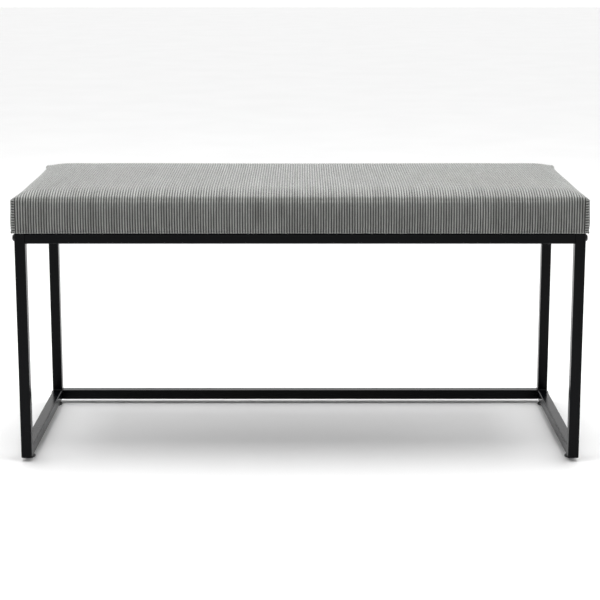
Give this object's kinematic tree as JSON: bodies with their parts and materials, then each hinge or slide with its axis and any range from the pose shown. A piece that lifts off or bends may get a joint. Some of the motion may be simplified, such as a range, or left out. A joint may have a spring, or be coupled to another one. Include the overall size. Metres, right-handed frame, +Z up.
{
  "type": "entryway bench",
  "caption": "Long low bench: a padded corduroy seat on an open frame of square steel tube, with a rear floor stretcher and screw-adjustable levelling feet.",
  "frame": {"origin": "on the floor under the middle of the bench", "axes": "+X along the bench to its right end as a viewer in front sees it, +Y to the rear, +Z up; the front faces -Y"},
  "size_m": [1.016, 0.396, 0.484],
  "materials": {
    "powder_coated_steel": "satin",
    "black_bolt_steel": "satin",
    "zinc_plated_steel": "satin",
    "bare_steel": "satin",
    "black_foot_plastic": "matte",
    "plywood": "matte",
    "foam": "matte",
    "wadding": "matte",
    "corduroy": "matte",
    "dust_cloth": "matte",
    "staple_wire": "satin"
  },
  "bodies": {
    "bench_frame": {"cover_staples": "staple_wire", "dust_cover": "dust_cloth", "dust_cover_staples": "staple_wire", "foot_inserts": "zinc_plated_steel", "front_rail": "powder_coated_steel", "front_rail_bolts": "black_bolt_steel", "front_rail_end_plugs": "bare_steel", "left_bottom_rail": "powder_coated_steel", "left_frame_welds": "powder_coated_steel", "left_front_leg": "powder_coated_steel", "left_rear_leg": "powder_coated_steel", "left_top_rail": "powder_coated_steel", "rear_rail": "powder_coated_steel", "rear_rail_bolts": "black_bolt_steel", "rear_rail_end_plugs": "bare_steel", "rear_stretcher": "powder_coated_steel", "rear_stretcher_bolts": "black_bolt_steel", "rear_stretcher_end_plugs": "bare_steel", "right_bottom_rail": "powder_coated_steel", "right_frame_welds": "powder_coated_steel", "right_front_leg": "powder_coated_steel", "right_rear_leg": "powder_coated_steel", "right_top_rail": "powder_coated_steel", "seat_board": "plywood", "seat_cover": "corduroy", "seat_foam": "foam", "seat_screw_washers": "zinc_plated_steel", "seat_screws": "black_bolt_steel", "seat_t_nuts": "zinc_plated_steel", "seat_wadding": "wadding"},
    "front_left_foot": {"front_left_foot_pad": "black_foot_plastic"},
    "front_left_foot_screw": {"front_left_foot_stem": "zinc_plated_steel"},
    "front_right_foot": {"front_right_foot_pad": "black_foot_plastic"},
    "front_right_foot_screw": {"front_right_foot_stem": "zinc_plated_steel"},
    "rear_left_foot": {"rear_left_foot_pad": "black_foot_plastic"},
    "rear_left_foot_screw": {"rear_left_foot_stem": "zinc_plated_steel"},
    "rear_right_foot": {"rear_right_foot_pad": "black_foot_plastic"},
    "rear_right_foot_screw": {"rear_right_foot_stem": "zinc_plated_steel"}
  },
  "joints": [
    {"name": "front_left_foot_travel", "type": "slide", "parent": "bench_frame", "child": "front_left_foot", "axis": [0, 0, -1], "range_m": [0, 0.008]},
    {"name": "front_left_foot_turn", "type": "hinge", "parent": "front_left_foot", "child": "front_left_foot_screw", "pos_m": [-0.4905, -0.16, 0.006], "axis": [0, 0, -1], "range_deg": [0, 2880]},
    {"name": "front_right_foot_travel", "type": "slide", "parent": "bench_frame", "child": "front_right_foot", "axis": [0, 0, -1], "range_m": [0, 0.008]},
    {"name": "front_right_foot_turn", "type": "hinge", "parent": "front_right_foot", "child": "front_right_foot_screw", "pos_m": [0.4905, -0.16, 0.006], "axis": [0, 0, -1], "range_deg": [0, 2880]},
    {"name": "rear_left_foot_travel", "type": "slide", "parent": "bench_frame", "child": "rear_left_foot", "axis": [0, 0, -1], "range_m": [0, 0.008]},
    {"name": "rear_left_foot_turn", "type": "hinge", "parent": "rear_left_foot", "child": "rear_left_foot_screw", "pos_m": [-0.4905, 0.16, 0.006], "axis": [0, 0, -1], "range_deg": [0, 2880]},
    {"name": "rear_right_foot_travel", "type": "slide", "parent": "bench_frame", "child": "rear_right_foot", "axis": [0, 0, -1], "range_m": [0, 0.008]},
    {"name": "rear_right_foot_turn", "type": "hinge", "parent": "rear_right_foot", "child": "rear_right_foot_screw", "pos_m": [0.4905, 0.16, 0.006], "axis": [0, 0, -1], "range_deg": [0, 2880]}
  ],
  "couplings": [
    {"joint": "front_left_foot_turn", "follows": "front_left_foot_travel", "rad_per_m": 6283.2},
    {"joint": "front_right_foot_turn", "follows": "front_right_foot_travel", "rad_per_m": 6283.2},
    {"joint": "rear_left_foot_turn", "follows": "rear_left_foot_travel", "rad_per_m": 6283.2},
    {"joint": "rear_right_foot_turn", "follows": "rear_right_foot_travel", "rad_per_m": 6283.2}
  ]
}
